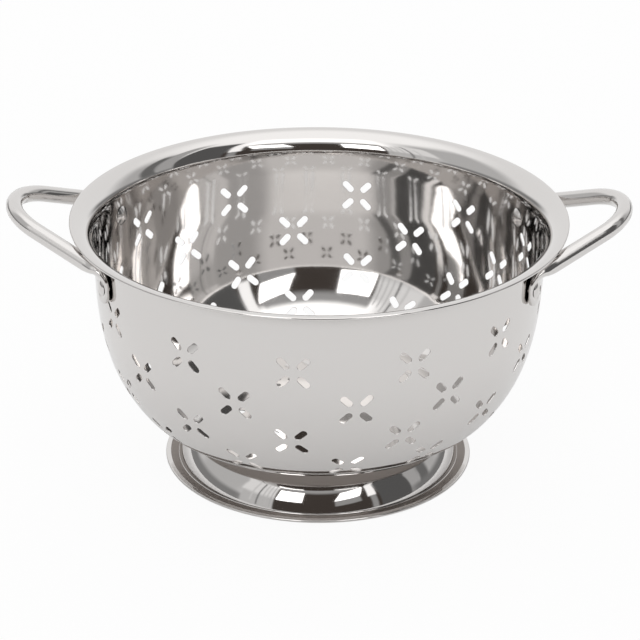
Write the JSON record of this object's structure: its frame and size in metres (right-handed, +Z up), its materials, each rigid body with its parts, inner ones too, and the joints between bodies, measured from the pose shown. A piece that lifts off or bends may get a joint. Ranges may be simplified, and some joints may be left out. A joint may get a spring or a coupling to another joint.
{
  "type": "colander",
  "caption": "Round footed kitchen colander pressed from polished steel, pierced with star-shaped groups of slots, with two riveted loop handles for draining food.",
  "frame": {"origin": "on the table plane, under the middle of the bowl and the foot ring", "axes": "+Z up out of the bowl's mouth; the two handles stand out along +X and -X, and the pictured front faces -Y"},
  "size_m": [0.313, 0.25, 0.142],
  "materials": {
    "polished_steel": "mirror-polished stainless steel"
  },
  "bodies": {
    "root": {"bowl": "polished_steel", "foot_ring": "polished_steel", "right_handle": "polished_steel", "left_handle": "polished_steel", "rivet_right_front": "polished_steel", "rivet_right_back": "polished_steel", "rivet_left_back": "polished_steel", "rivet_left_front": "polished_steel"}
  },
  "joints": []
}
